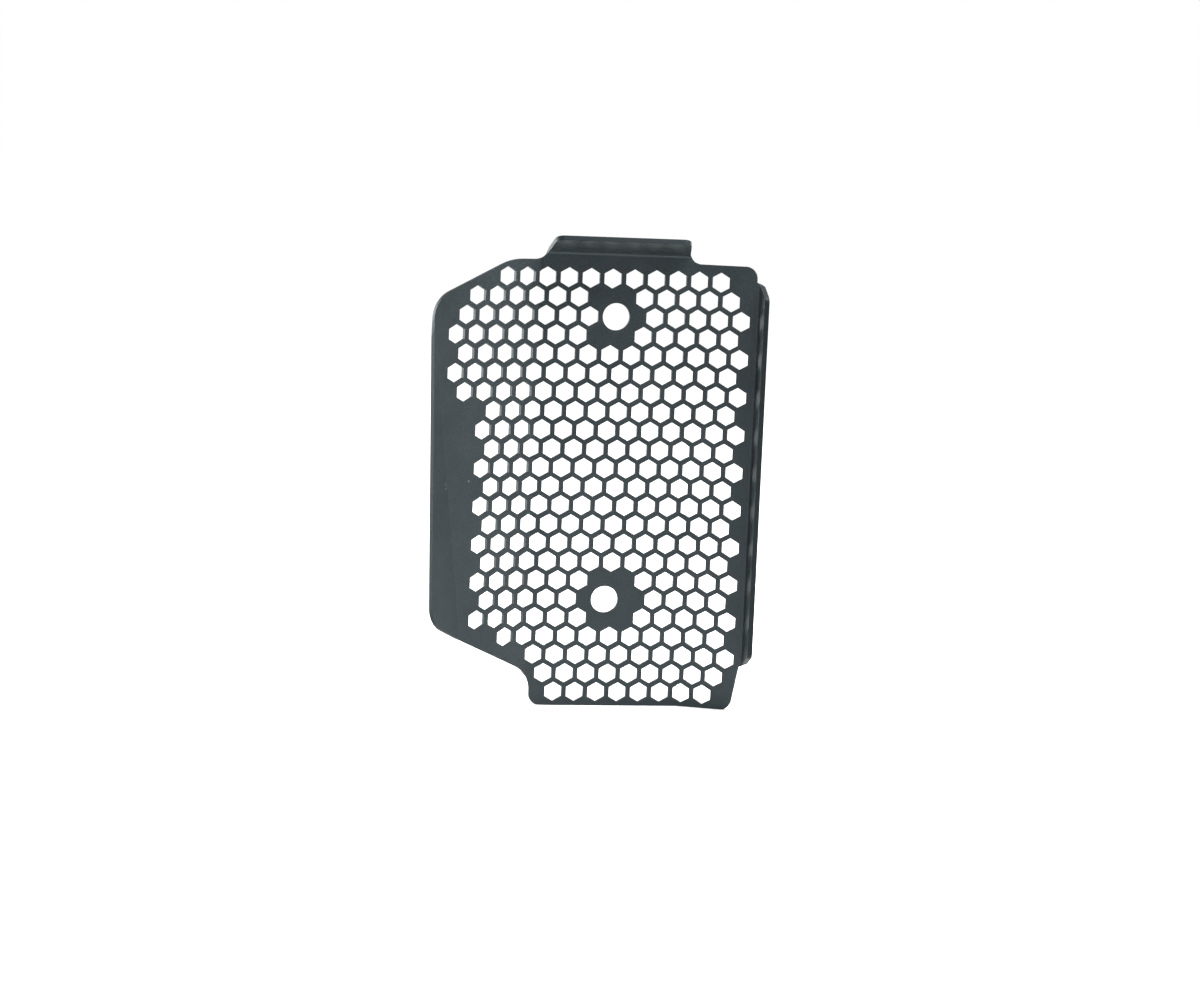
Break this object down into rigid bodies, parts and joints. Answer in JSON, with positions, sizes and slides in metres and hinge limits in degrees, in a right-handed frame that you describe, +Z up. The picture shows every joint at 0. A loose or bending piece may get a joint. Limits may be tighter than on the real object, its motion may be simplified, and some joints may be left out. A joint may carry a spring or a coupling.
{
  "type": "rectifier guard",
  "caption": "Folded sheet guard for a motorbike rectifier, pierced with a honeycomb for cooling air, with an angled wing, a flanged strip, a top tab and bolt holes on its middle line.",
  "frame": {"origin": "middle of the two bolt holes, on the front face of the panel", "axes": "+Z up along the line of the bolt holes, +X to the right seen from the front, the folded edges reach towards -Y"},
  "size_m": [0.0987, 0.0167, 0.1405],
  "materials": {
    "coated_sheet": "satin"
  },
  "bodies": {
    "root": {"rectifier_guard": "coated_sheet"}
  },
  "joints": []
}
